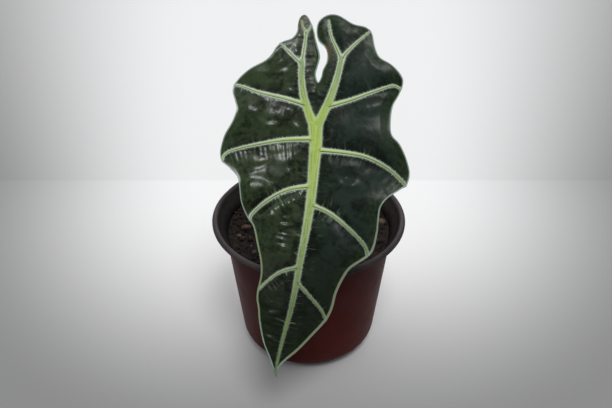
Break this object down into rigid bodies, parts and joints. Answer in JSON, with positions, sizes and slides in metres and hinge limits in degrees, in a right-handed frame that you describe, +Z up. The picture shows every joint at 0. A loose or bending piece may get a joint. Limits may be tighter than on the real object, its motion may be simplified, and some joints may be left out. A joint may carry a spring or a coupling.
{
  "type": "potted plant",
  "caption": "Young potted alocasia: a large dark arrow-shaped leaf with pale veins hangs from an arching stalk over a round tapered nursery pot filled with potting mix.",
  "frame": {"origin": "centre of the pot's foot, on the surface it stands on", "axes": "+Z up along the pot's axis, -Y towards the side that the leaf hangs over and shows its upper face to, +X to the right seen from that side"},
  "size_m": [0.12, 0.1549, 0.2227],
  "materials": {
    "pot_plastic": "dark brick-red, half gloss, with a dull brown-grey rim",
    "potting_mix": "damp, crumbly, nearly black potting mix",
    "bark": "dull orange-brown to tan bark flakes",
    "leaf": "glossy black-green blade with raised yellow-green to white veins and a thin pale margin",
    "stalk": "smooth pale green, faintly mottled",
    "corm": "dull brown, ringed and fibrous",
    "dry_sheath": "dry, papery, straw brown"
  },
  "bodies": {
    "root": {"nursery_pot": "pot_plastic", "potting_soil": "potting_mix", "corm": "corm", "petiole": "stalk", "leaf_blade": "leaf", "sheath_scale_front": "dry_sheath", "sheath_scale_back": "dry_sheath", "bark_chip_01": "bark", "bark_chip_02": "bark", "bark_chip_03": "bark", "bark_chip_04": "bark", "bark_chip_05": "bark", "bark_chip_06": "bark", "bark_chip_07": "bark", "bark_chip_08": "bark", "bark_chip_09": "bark", "bark_chip_10": "bark", "bark_chip_11": "bark", "bark_chip_12": "bark", "bark_chip_13": "bark", "bark_chip_14": "bark", "bark_chip_15": "bark", "bark_chip_16": "bark", "bark_chip_17": "bark", "bark_chip_18": "bark", "bark_chip_19": "bark", "bark_chip_20": "bark", "bark_chip_21": "bark", "bark_chip_22": "bark"}
  },
  "joints": []
}
